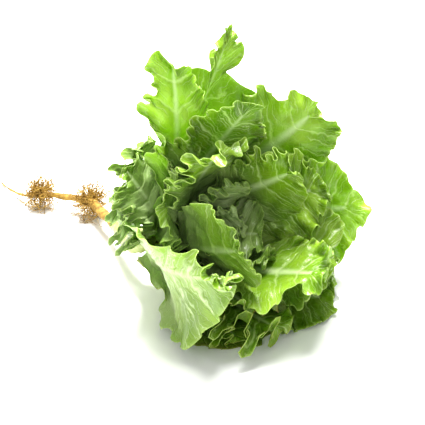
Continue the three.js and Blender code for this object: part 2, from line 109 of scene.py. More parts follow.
def smooth_line(points, radii, count):
    """A smooth line through the points, with evenly changing radii."""
    p = np.array(points, float)
    p = np.vstack([2 * p[0] - p[1], p, 2 * p[-1] - p[-2]])
    spans = len(points) - 1
    line = []
    for t in np.linspace(0, spans, count + 1):
        k = min(spans - 1, int(t))
        f = t - k
        a, b, c, d = p[k:k + 4]
        line.append(0.5 * (2 * b + (c - a) * f + (2 * a - 5 * b + 4 * c - d) * f**2
                           + (3 * b - a - 3 * c + d) * f**3))
    sizes = np.interp(np.linspace(0, 1, count + 1), np.linspace(0, 1, len(radii)), radii)
    return np.array(line), sizes


def rod_mesh(line, radii, sides, wobble=None):
    """Vertices and faces of a closed rod along a line, in millimetres."""
    last = len(line) - 1
    tangents = np.gradient(line, axis=0)
    tangents /= np.linalg.norm(tangents, axis=1)[:, None]
    u = np.array([0.0, 0.0, 1.0])
    if abs(tangents[0] @ u) > 0.95:
        u = np.array([0.0, 1.0, 0.0])
    turns = 2 * np.pi * np.arange(sides) / sides
    rings = []
    for i in range(last + 1):
        u = u - tangents[i] * (u @ tangents[i])
        u /= np.linalg.norm(u)
        v = np.cross(tangents[i], u)
        r = radii[i] * (1 if wobble is None else wobble(i / last, turns))
        r = r * np.ones(sides)
        rings.append(line[i] + np.outer(r * np.cos(turns), u) + np.outer(r * np.sin(turns), v))
    faces = []
    for i in range(last):
        for k in range(sides):
            a, b = i * sides + k, i * sides + (k + 1) % sides
            faces.append((a, b, b + sides, a + sides))
    faces.append(tuple(reversed(range(sides))))
    faces.append(tuple(range(last * sides, (last + 1) * sides)))
    return np.vstack(rings), faces


def add_piece(name, vertices, faces, material, node):
    mesh = bpy.data.meshes.new(name)
    mesh.from_pydata((vertices * 0.001).tolist(), [], faces)
    mesh.polygons.foreach_set("use_smooth", np.ones(len(faces), bool))
    mesh.materials.append(material)
    piece = bpy.data.objects.new(name, mesh)
    world_scene.collection.objects.link(piece)
    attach(piece, "root")
    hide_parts(node)
    return piece


def new_material(name):
    material = bpy.data.materials.new(name)
    material.use_nodes = True
    return material, material.node_tree.nodes, material.node_tree.links


def stem_wobble(f, turns):
    return 1 + 0.03 * np.sin(3 * turns + 40 * f) + 0.03 * math.sin(95 * f) + 0.02 * np.sin(7 * turns)


def stem_flesh():
    material, nodes, links = new_material("stem_flesh")
    shader = nodes["Principled BSDF"]
    shader.inputs["Roughness"].default_value = 0.4
    shader.inputs["Subsurface Weight"].default_value = 0.25
    shader.inputs["Subsurface Radius"].default_value = (0.006, 0.006, 0.002)
    coords = nodes.new("ShaderNodeTexCoord")
    blotch = nodes.new("ShaderNodeTexNoise")
    blotch.inputs["Scale"].default_value = 90
    blotch.inputs["Detail"].default_value = 5
    ramp = nodes.new("ShaderNodeValToRGB")
    ramp.color_ramp.elements[0].color = (0.16, 0.19, 0.035, 1)
    ramp.color_ramp.elements[0].position = 0.35
    ramp.color_ramp.elements[1].color = (0.40, 0.46, 0.16, 1)
    ramp.color_ramp.elements[1].position = 0.62
    bump = nodes.new("ShaderNodeBump")
    bump.inputs["Strength"].default_value = 0.3
    bump.inputs["Distance"].default_value = 0.001
    links.new(coords.outputs["Object"], blotch.inputs["Vector"])
    links.new(blotch.outputs["Fac"], ramp.inputs["Fac"])
    links.new(ramp.outputs["Color"], shader.inputs["Base Color"])
    links.new(blotch.outputs["Fac"], bump.inputs["Height"])
    links.new(bump.outputs["Normal"], shader.inputs["Normal"])
    return material


head_part = np.array([CROWN + AXIS * a for a in np.linspace(STEM_LENGTH, 0, 17)])
neck_line, neck_radii = smooth_line(
    [CROWN, CROWN - AXIS * STEM_BUTT, CROWN + (-24, 9, -10), CROWN + (-42, 22, -14), CROWN + NECK_END],
    [STEM_RADIUS, 11.5, 9.5, 7.5, 6.5], 30)
stem_line = np.vstack([head_part, neck_line[1:]])
stem_radii = np.concatenate([stem_radius(np.linspace(STEM_LENGTH, 0, 17)), neck_radii[1:]])
stem_vertices, stem_faces = rod_mesh(stem_line, stem_radii, STEM_SIDES, stem_wobble)
add_piece("stem_body", stem_vertices, stem_faces, stem_flesh(), "stem")


# The leaves grow round the stem in a spiral, each a thin blade on a fleshy rib.
# The margin grew more than the middle of the blade, so it stands in waves and
# curls. The lowest leaves are flattened by the ground that the plant lies on.
FOOT_INSIDE_STEM = 2.5
WRAP_RADIUS = 15.0
WRAP_LENGTH = 22.0
LEAF_FOOT = 7.0
RIB_REACH = 0.88
RIB_STEPS = 96
RIB_OVERRUN = 1.15
OPENING_PLACES = (0, 1 / 3, 2 / 3, 1, 1.3)
OPENING_SMOOTHING = 6
VEINS_A_SIDE = 9
PLEAT_HEIGHT = 2.2
PUCKER_HEIGHT = 1.6
PUCKER_WIDTH = 5.1
PUCKER_LENGTH = 5.7
SWAY_HEIGHT = 3
WAVE_SLIP = 0.34
FRILLS_PER_WAVE = 2.9
FRILL_HEIGHT = 0.75
FRILL_SLIP = 0.24
FLOOR_SOFTNESS = 14.0
LEAF_USUAL = dict(roll=0, flare=0.25, wave=8, waves=6, lobe=0.8, skew=0, full=(1.25, 0.5),
                  waist=(0.8, 0), wrap=1, sweep=0, floor=1.2)

# node, degrees round the stem, height of the foot, opening of the rib from the
# head's axis at four points, length, half width, cupping, painted lightness
# (painted light and shade: low darkens the leaves that lie in shade in the
# heart, high brightens the backlit upper leaves), then what is unusual about
# that leaf. The outermost comes first, and the three tightly curled leaves at
# the end make the heart together. Unusual can be the roll of the blade round
# its rib, how far the sides flare out, the height and number of waves, the
# depth of lobes, one side wider than the other (skew), where the blade is
# fullest (full) and narrows (waist), how closely it wraps the stem, a sideways
# sweep, and how low it may lie (floor).
LEAVES = [
    ("leaf_01", 182, 0, (44, 46, 45, 42), 176, 66, 0.4, 0.3, dict(floor=0.3)),
    ("leaf_02", 42, 2, (30, 50, 72, 90), 80, 29, 0.4, 0.1, dict(roll=10)),
    ("leaf_03", 276, 4, (38, 46, 49, 56), 206, 66, 0.6, 0.6, {}),
    ("leaf_04", 106, 6, (32, 27, 22, 20), 190, 68, -0.1, 0.55,
     dict(roll=-5, skew=0.42, full=(0.45, 0.95), wave=6, waves=5, wrap=0.12,
          sweep=0.5)),
    ("leaf_05", 8, 8, (46, 62, 74, 78), 104, 26, 0.6, 0.1, dict(roll=-20, lobe=1.5)),
    ("leaf_06", 228, 10, (36, 43, 45, 48), 204, 68, 0.6, 0.3, {}),
    ("leaf_07", 155, 12, (50, 52, 50, 48), 148, 44, 0.3, 0.6, dict(skew=0.15, wave=6, floor=0.3)),
    ("leaf_08", 206, 14, (38, 44, 44, 43), 192, 66, 0.5, 0.4, dict(wave=10, waves=7, floor=0.3)),
    ("leaf_09", 340, 16, (44, 46, 49, 55), 222, 58, 0.4, 0.7,
     dict(roll=-35, skew=-0.4, full=(1.1, 0.6), waist=(0.82, 0.6))),
    ("leaf_10", 20, 18, (30, 60, 90, 102), 110, 34, 0.4, 0.2, dict(lobe=1.2)),
    ("leaf_11", 300, 20, (28, 31, 33, 40), 212, 54, 0.5, 0.6, dict(roll=-15, wave=9)),
    ("leaf_12", 246, 22, (28, 31, 33, 43), 206, 64, 0.6, 1.0, dict(roll=20)),
    ("leaf_13", 4, 24, (43, 48, 60, 68), 206, 29, 0.5, 1.0, dict(roll=-42, lobe=1.6)),
    ("leaf_14", 164, 26, (30, 37, 41, 41), 158, 57, 0.5, 0.3, dict(wave=10, waves=7)),
    ("leaf_15", 224, 28, (23, 29, 32, 38), 180, 60, 0.6, 0.4, {}),
    ("leaf_16", 344, 30, (26, 33, 36, 34), 172, 46, 0.5, 0.3, dict(roll=-20)),
    ("leaf_17", 146, 31, (26, 34, 38, 41), 142, 56, 0.6, 0.2, dict(wave=9)),
    ("leaf_18", 262, 33, (18, 23, 26, 34), 164, 56, 0.7, 0.5, dict(wave=10, waves=7)),
    ("leaf_19", 50, 34, (16, 26, 44, 68), 108, 39, 0.5, 0.2, {}),
    ("leaf_20", 190, 36, (18, 23, 26, 32), 168, 57, 0.6, 0.7, {}),
    ("leaf_21", 20, 38, (18, 26, 34, 42), 138, 48, 0.5, 0.3, dict(roll=-30)),
    ("leaf_22", 104, 40, (14, 17, 18, 18), 134, 52, 0.7, 0.3, dict(wave=4, lobe=0.5)),
    ("leaf_23", 296, 42, (13, 19, 21, 22), 146, 47, 0.8, 0.2, dict(wave=5, lobe=0.6)),
    ("leaf_24", 160, 45, (11, 17, 21, 28), 104, 44, 0.8, 0.2, {}),
    ("leaf_25", 215, 47, (11, 17, 21, 28), 92, 42, 0.8, 0.2, {}),
    ("leaf_26", 344, 50, (9, 13, 16, 23), 90, 36, 0.9, 0.1, {}),
    ("heart", 70, 56, (3, 7, 8, 14), 62, 30, 1.1, 0.2, dict(wave=5, waves=5)),
    ("heart", 190, 56, (3, 7, 8, 14), 66, 30, 1.1, 0.2, dict(wave=5, waves=5)),
    ("heart", 310, 56, (3, 7, 8, 14), 60, 30, 1.1, 0.2, dict(wave=5, waves=5)),
]
leaves = []
for order, (node, around, rise, opening, length, half, cup, painted_lightness, unusual) in enumerate(LEAVES):
    leaf = dict(LEAF_USUAL, node=node, around=around, rise=rise, open=opening, length=length,
                half=half, cup=cup, painted_lightness=painted_lightness, seed=3 + order)
    leaf.update(unusual)
    leaves.append(leaf)


def rib_line(leaf):
    """The rib's distance from the axis, place along it and opening, at even steps."""
    opening = np.radians(leaf["open"])
    opening = np.append(opening, opening[3] + (opening[3] - opening[2]) * 0.5)
    q = RIB_OVERRUN * np.arange(RIB_STEPS) / (RIB_STEPS - 1)
    raw = np.interp(q, OPENING_PLACES, opening)
    width = 2 * OPENING_SMOOTHING + 1
    angle = np.convolve(np.pad(raw, OPENING_SMOOTHING, mode="edge"), np.ones(width) / width, "valid")
    ds = leaf["length"] * RIB_OVERRUN / (RIB_STEPS - 1)
    out = stem_radius(leaf["rise"]) - FOOT_INSIDE_STEM + np.append(0, np.cumsum(np.sin(angle[:-1]) * ds))
    along = leaf["rise"] + np.append(0, np.cumsum(np.cos(angle[:-1]) * ds))
    return np.arange(RIB_STEPS) * ds, angle, out, along


def blade_points(leaf, beta, r, side, fine):
    """The middle surface of the blade. beta runs from 0 at the foot to pi at the
    tip, r from 0 on the rib to 1 on the margin; fine adds the small frills."""
    L, W = leaf["length"], leaf["half"]
    ph = [scatter(leaf["seed"], k) for k in range(16)]
    s = np.sin(beta / 2)
    c = np.clip(np.cos(beta / 2), 0, 1)
    m = side * (1 - beta / np.pi)
    a, b = leaf["full"]
    peak = (a / (a + b)) ** a * (b / (a + b)) ** b
    y_margin = L * s * s
    wide = W * (1 + side * leaf["skew"]) * s ** (2 * a) * c ** (2 * b) / peak
    place, share = leaf["waist"]
    narrow = 1 - share * step(place - 0.12, place, y_margin / L)
    narrow = narrow - 0.4 * share * np.exp(-((y_margin / L - place) / 0.06) ** 2)
    slow = 0.06 + 0.06 * np.sin(11 * m + ph[0])
    quick = 0.05 + 0.05 * np.sin(23 * m + ph[1] + np.sin(5 * m))
    scallop = 0.04 * (1 - np.abs(np.sin(24 * m + ph[2]))) + 0.022 * (1 - np.abs(np.sin(57 * m + ph[7])))
    lobe = -(leaf["lobe"] * (slow + quick) + fine * scallop) * s**1.5
    xm = (LEAF_FOOT * c + wide) * narrow * (1 + lobe)
    ym = L / 2 + (y_margin - L / 2) * (1 + lobe * step(0.3, 1, y_margin / L))
    foot = RIB_REACH * L * (y_margin / L) ** 1.35
    x = side * r * xm
    y = foot + (ym - foot) * r**1.1
    wander = 0.06 * np.sin(5.1 * m + ph[3]) + 0.03 * np.sin(9.3 * m + ph[4])
    phase = 2 * np.pi * leaf["waves"] * (m + wander) + ph[5]
    strength = (0.8 + 0.35 * np.sin(4.3 * m + ph[6])) * step(0.15, 0.75, s) * leaf["wave"]
    reach = step(0.35, 1.05, r) ** 1.3
    swell = strength * reach * np.sin(phase)
    slip = -WAVE_SLIP * strength * reach * np.sin(2 * phase)
    frill_phase = 2 * np.pi * FRILLS_PER_WAVE * leaf["waves"] * (m + 0.5 * wander) + ph[8]
    frill = fine * strength * step(0.55, 1.05, r) ** 1.4 * (0.75 + 0.45 * np.sin(7.7 * m + ph[11]))
    swell = swell + FRILL_HEIGHT * frill * np.sin(frill_phase)
    slip = slip - FRILL_SLIP * frill * np.sin(2 * frill_phase)
    x = x - slip * np.cos(beta)
    y = y - slip * side * np.sin(beta)
    y = y - leaf["sweep"] * np.clip(x, 0, None) * (1 - step(0, 1, y / L))
    ys, angle, outs, alongs = rib_line(leaf)
    psi = np.interp(y, ys, angle)
    q = np.clip(y, 0, None) / L
    bend = leaf["cup"] / W + leaf["wrap"] * np.exp(-np.clip(y, 0, None) / WRAP_LENGTH) / WRAP_RADIUS
    turn = bend * x
    across = np.sin(turn) / bend
    lift = (1 - np.cos(turn)) / bend - leaf["flare"] * W * np.clip(np.abs(x) / W, 0, 1.4) ** 3.2
    sway = SWAY_HEIGHT * np.sin(2.2 * np.pi * q + ph[12]) * step(0.1, 0.5, q)
    pucker = np.sin(x / PUCKER_WIDTH + ph[9] + 0.9 * np.sin(y / 9))
    pucker = pucker * np.sin(y / PUCKER_LENGTH + ph[10] + 0.8 * np.sin(x / 8))
    pucker = fine * PUCKER_HEIGHT * pucker * step(0.08, 0.35, r) * step(0.15, 0.4, q)
    between = np.abs((beta / np.pi * VEINS_A_SIDE) % 1 - 0.5) * 2
    pleat = fine * PLEAT_HEIGHT * between**0.7 * step(0.03, 0.3, r) * (1 - 0.45 * r) * step(0.05, 0.3, q)
    rise = swell + sway + pucker + pleat
    X = across - rise * np.sin(turn)
    Z = lift + rise * np.cos(turn)
    roll = np.radians(leaf["roll"]) * step(0, 0.75, q)
    A = X * np.cos(roll) - Z * np.sin(roll)
    B = X * np.sin(roll) + Z * np.cos(roll)
    th = math.radians(leaf["around"])
    out = math.cos(th) * UP + math.sin(th) * FRONT
    sideways = np.cross(AXIS, out)
    along_axis = np.interp(y, ys, alongs) + np.minimum(y, 0)
    p = CROWN + along_axis[..., None] * AXIS + np.interp(y, ys, outs)[..., None] * out
    inward = np.sin(psi)[..., None] * AXIS - np.cos(psi)[..., None] * out
    p = p + A[..., None] * sideways + B[..., None] * inward
    low = leaf["floor"]
    z = p[..., 2]
    pressed = low + FLOOR_SOFTNESS * np.exp(np.clip((z - low - FLOOR_SOFTNESS) / FLOOR_SOFTNESS, -40, 0))
    p[..., 2] = np.where(z < low + FLOOR_SOFTNESS, pressed, z)
    return p, x, y


# Leaves don't pass through each other: each is bent clear of the leaves outside
# it on a coarse grid, and the fine blade follows that bending.
ROWS = 17
COARSE_ROWS = np.array([0] + list(range(2, ROWS + 1)))
COARSE_COLUMNS = np.array([-1, -0.6, 0, 0.6, 1])
LEAF_GAP = 3.3
GAP_REACH = 18.0
BEND_ROUNDS = 200
LARGEST_LACK = 6
PUSH_SHARE = 0.7
EVENING_SHARE = 0.4

row_count, column_count = len(COARSE_ROWS), len(COARSE_COLUMNS)
coarse_beta = np.pi * COARSE_ROWS[:, None] / ROWS * np.ones(column_count)
coarse_r = np.abs(COARSE_COLUMNS)[None, :] * np.ones((row_count, 1))
coarse_side = np.where(COARSE_COLUMNS < 0, -1.0, 1.0)[None, :] * np.ones((row_count, 1))
used = np.array([j * 5 + c for j in range(row_count) for c in range(5) if j < row_count - 1 or c < 3])
grid_index = np.arange(row_count * 5).reshape(row_count, 5)
grid_index[-1, 3:] = grid_index[-1, 1::-1]
renumber = {v: i for i, v in enumerate(used)}
grid_index = np.vectorize(renumber.get)(grid_index)
coarse_faces = []
for j in range(row_count - 1):
    for c in range(4):
        a, b = grid_index[j, c], grid_index[j, c + 1]
        d, e = grid_index[j + 1, c], grid_index[j + 1, c + 1]
        coarse_faces += [(a, b, e), (a, e, d)] if c < 2 else [(a, b, d), (b, e, d)]
coarse_faces = np.array(coarse_faces)
count = len(used)
meets = np.zeros((count, count))
gather = np.zeros((count, len(coarse_faces)))
for f, tri in enumerate(coarse_faces):
    for v in tri:
        gather[v, f] = 1
        for w in tri:
            meets[v, w] = v != w
meets /= meets.sum(axis=1, keepdims=True)

start = np.array([
    blade_points(leaf, coarse_beta, coarse_r, coarse_side, 0)[0].reshape(-1, 3)[used] for leaf in leaves
])
lows = np.array([leaf["floor"] for leaf in leaves])[:, None]
move = np.zeros_like(start)
points = start.copy()
for bending in range(BEND_ROUNDS):
    u = points[:, coarse_faces[:, 1]] - points[:, coarse_faces[:, 0]]
    v = points[:, coarse_faces[:, 2]] - points[:, coarse_faces[:, 0]]
    normals = gather @ np.cross(u, v)
    normals /= np.linalg.norm(normals, axis=2, keepdims=True)
    low_corner = points.min(axis=1) - LEAF_GAP
    high_corner = points.max(axis=1) + LEAF_GAP
    push = np.zeros_like(points)
    hits = np.zeros(points.shape[:2])
    for o in range(len(leaves) - 1):
        near = (low_corner[o] <= high_corner[o + 1:]) & (high_corner[o] >= low_corner[o + 1:])
        inner = np.nonzero(near.all(axis=1))[0] + o + 1
        if not len(inner):
            continue
        p = points[inner].reshape(-1, 3)
        q = points[o]
        apart = (p**2).sum(axis=1)[:, None] + (q**2).sum(axis=1)[None, :] - 2 * p @ q.T
        found = apart.argmin(axis=1)
        close = apart[np.arange(len(p)), found] < GAP_REACH**2
        normal = normals[o][found]
        ahead = -np.einsum("ij,ij->i", p - q[found], normal)
        lack = LEAF_GAP - ahead
        hit = np.nonzero(close & (lack > 0))[0]
        shove = normal[hit] * (np.minimum(lack[hit], LARGEST_LACK) * 0.5)[:, None]
        which, vertex = inner[hit // count], hit % count
        np.add.at(push, (which, vertex), -shove)
        np.add.at(hits, (which, vertex), 1)
        np.add.at(push[o], found[hit], shove)
        np.add.at(hits[o], found[hit], 1)
    move += PUSH_SHARE * push / np.maximum(hits, 1)[..., None]
    move += EVENING_SHARE * (meets @ move - move)
    points = start + move
    points[..., 2] = np.maximum(points[..., 2], lows)

bend_fields = (points - start)[:, grid_index]

FINE_ROWS = 156
FINE_COLUMNS = 20
BLADE_THICKNESS = 0.5
RIB_THICKNESS = 5.0
RIB_CREST = 0.35
VEIN_RIDGE = 0.55
FAN_RIDGE = 1.3
HANG_OUT = 3.0


def fine_blade(leaf, field):
    """The bent fine blade as a grid, with its flat coordinates."""
    j = np.concatenate([[0], np.arange(2, FINE_ROWS + 1)])
    beta = np.pi * j[:, None] / FINE_ROWS * np.ones(2 * FINE_COLUMNS + 1)
    c = np.arange(-FINE_COLUMNS, FINE_COLUMNS + 1) / FINE_COLUMNS
    r = (1 - (1 - np.abs(c)) ** 1.3)[None, :] * np.ones((len(j), 1))
    side = np.where(c < 0, -1.0, 1.0)[None, :] * np.ones((len(j), 1))
    p, x, y = blade_points(leaf, beta, r, side, 1.0)
    rows = np.interp(beta * ROWS / np.pi, COARSE_ROWS, np.arange(row_count))
    cols = np.interp(side * r, COARSE_COLUMNS, np.arange(column_count))
    j0 = np.minimum(rows.astype(int), row_count - 2)
    c0 = np.minimum(cols.astype(int), column_count - 2)
    fj, fc = (rows - j0)[..., None], (cols - c0)[..., None]
    fj = fj * fj * (3 - 2 * fj) * 0.5 + fj * 0.5
    p = p + (field[j0, c0] * (1 - fj) * (1 - fc) + field[j0 + 1, c0] * fj * (1 - fc)
             + field[j0, c0 + 1] * (1 - fj) * fc + field[j0 + 1, c0 + 1] * fj * fc)
    p[..., 2] = np.maximum(p[..., 2], leaf["floor"])
    return p, beta, r, side, x, y


# The leaf that hangs over the side shows its underside, with a fan of pale
# raised veins; two more show it less. Four old leaves have brown, dried margins.
RIBBED = {"leaf_04": 1.0, "leaf_16": 0.5, "leaf_09": 0.3}
BROWNED = {"leaf_17": 1.0, "leaf_07": 0.6, "leaf_01": 0.4, "leaf_14": 0.3}


def leaf_solid(leaf, field):
    p, beta, r, side, x, y = fine_blade(leaf, field)
    n = np.cross(np.gradient(p, axis=1), np.gradient(p, axis=0))
    n /= np.maximum(np.linalg.norm(n, axis=2, keepdims=True), 1e-9)
    q = np.clip(y / leaf["length"], 0, 1)
    hang = HANG_OUT * RIBBED.get(leaf["node"], 0) * step(0.1, 0.4, q) * step(0, 0.3, r)
    p = p + n * hang[..., None]
    p[..., 2] = np.maximum(p[..., 2], leaf["floor"])
    rib_width = 1.8 + 8.5 * (1 - q) ** 2.2
    rib = RIB_THICKNESS * (1 - q) ** 1.1 * np.exp(-((x / rib_width) ** 2))
    rib = rib + RIB_CREST * np.exp(-((x / 1.6) ** 2))
    vein = np.abs((beta / np.pi * VEINS_A_SIDE) % 1 - 0.5) * 2
    ridge = VEIN_RIDGE * np.clip(1 - vein / 0.35, 0, 1) * (1 - r) * step(0.02, 0.1, r)
    fan = np.abs((beta / np.pi * VEINS_A_SIDE * 2) % 1 - 0.5) * 2
    fan = np.clip(1 - fan / 0.5, 0, 1) * (1 - r) ** 0.6
    ridge = ridge + FAN_RIDGE * RIBBED.get(leaf["node"], 0) * fan
    inner = p - n * (BLADE_THICKNESS / 2 + 0.22 * rib)[..., None]
    outer = p + n * (BLADE_THICKNESS / 2 + 0.78 * rib + ridge)[..., None]
    rows, cols = p.shape[:2]
    ids = np.arange(rows * cols).reshape(rows, cols)
    R = cols // 2
    ids[-1, R + 1:] = ids[-1, R - 1::-1]
    a, b, d, e = ids[:-1, :-1], ids[:-1, 1:], ids[1:, :-1], ids[1:, 1:]
    quads = np.stack([a, b, e, d], axis=-1).reshape(-1, 4)
    total = rows * cols
    rim = np.concatenate([ids[:, 0], ids[-2::-1, -1], ids[0, -2:0:-1]])
    following = np.roll(rim, -1)
    edge = np.stack([rim, following, following + total, rim + total], axis=-1)
    faces = np.concatenate([quads, (quads + total)[:, ::-1], edge])
    vertices = np.concatenate([outer.reshape(-1, 3), inner.reshape(-1, 3)])
    used_ids, faces = np.unique(faces, return_inverse=True)
    faces = faces.reshape(-1, 4)
    marks = {
        "along": np.tile((beta / np.pi).ravel(), 2)[used_ids],
        "across": np.tile(r.ravel(), 2)[used_ids],
        "back": np.repeat([1.0, 0.0], total)[used_ids],
        "flat_x": np.tile(x.ravel(), 2)[used_ids] * 0.01,
        "flat_y": np.tile(y.ravel(), 2)[used_ids] * 0.01,
        "painted_lightness": np.full(len(used_ids), leaf["painted_lightness"]),
        "ribbed": np.full(len(used_ids), RIBBED.get(leaf["node"], 0.0)),
        "browned": np.full(len(used_ids), BROWNED.get(leaf["node"], 0.0)),
    }
    return vertices[used_ids], faces, marks


def math_node(tree, operation, *values):
    node = tree.nodes.new("ShaderNodeMath")
    node.operation = operation
    for socket, value in zip(node.inputs, values):
        if isinstance(value, (int, float)):
            socket.default_value = value
        else:
            tree.links.new(value, socket)
    return node.outputs[0]


def mix_colour(tree, factor, one, other):
    node = tree.nodes.new("ShaderNodeMix")
    node.data_type = "RGBA"
    for name, value in (("Factor", factor), ("A", one), ("B", other)):
        sockets = [s for s in node.inputs if s.name == name and s.enabled]
        if isinstance(value, (int, float, tuple)):
            sockets[0].default_value = value
        else:
            tree.links.new(value, sockets[0])
    return [s for s in node.outputs if s.enabled][0]


def spread_node(tree, value, low, high, to_low=0.0, to_high=1.0):
    node = tree.nodes.new("ShaderNodeMapRange")
    node.interpolation_type = "SMOOTHSTEP"
    tree.links.new(value, node.inputs["Value"])
    node.inputs["From Min"].default_value = low
    node.inputs["From Max"].default_value = high
    node.inputs["To Min"].default_value = to_low
    node.inputs["To Max"].default_value = to_high
    return node.outputs["Result"]


def vein_net():
    """Veins that leave the rib and fork towards the margin, with a fine net
    between them. Vein is 1 on a vein, Net is 1 on the fine net."""
    tree = bpy.data.node_groups.new("vein_net", "ShaderNodeTree")
    for name in ("Along", "Across", "Flat X", "Flat Y", "Ribbed"):
        tree.interface.new_socket(name, in_out="INPUT", socket_type="NodeSocketFloat")
    for name in ("Vein", "Net"):
        tree.interface.new_socket(name, in_out="OUTPUT", socket_type="NodeSocketFloat")
    given = tree.nodes.new("NodeGroupInput").outputs
    made = tree.nodes.new("NodeGroupOutput").inputs
    place = tree.nodes.new("ShaderNodeCombineXYZ")
    tree.links.new(given["Flat X"], place.inputs["X"])
    tree.links.new(given["Flat Y"], place.inputs["Y"])
    wander = tree.nodes.new("ShaderNodeTexNoise")
    wander.inputs["Scale"].default_value = 9
    tree.links.new(place.outputs[0], wander.inputs["Vector"])
    shift = math_node(tree, "MULTIPLY", math_node(tree, "SUBTRACT", wander.outputs["Fac"], 0.5), 0.05)
    along = math_node(tree, "ADD", given["Along"], shift)
    veins = None
    for fold, begins, width, strength in ((1, -0.2, 0.12, 1.0), (2, 0.3, 0.13, 0.8), (4, 0.55, 0.15, 0.65)):
        turn = math_node(tree, "FRACT", math_node(tree, "MULTIPLY", along, VEINS_A_SIDE * fold))
        apart = math_node(tree, "ABSOLUTE", math_node(tree, "SUBTRACT", turn, 0.5))
        apart = math_node(tree, "MULTIPLY", apart, 2)
        thin = spread_node(tree, given["Across"], 0, 1, width * 1.9, width * 0.6)
        line = math_node(tree, "SUBTRACT", 1, math_node(tree, "DIVIDE", apart, thin))
        line = math_node(tree, "MAXIMUM", line, 0)
        reached = math_node(tree, "ADD", given["Across"], given["Ribbed"])
        line = math_node(tree, "MULTIPLY", line, spread_node(tree, reached, begins, begins + 0.15))
        line = math_node(tree, "MULTIPLY", line, strength)
        veins = line if veins is None else math_node(tree, "MAXIMUM", veins, line)
    cells = tree.nodes.new("ShaderNodeTexVoronoi")
    cells.feature = "DISTANCE_TO_EDGE"
    cells.voronoi_dimensions = "2D"
    cells.inputs["Scale"].default_value = 17
    tree.links.new(place.outputs[0], cells.inputs["Vector"])
    net = spread_node(tree, cells.outputs["Distance"], 0.02, 0.11, 1.0, 0.0)
    tree.links.new(veins, made["Vein"])
    tree.links.new(net, made["Net"])
    return tree


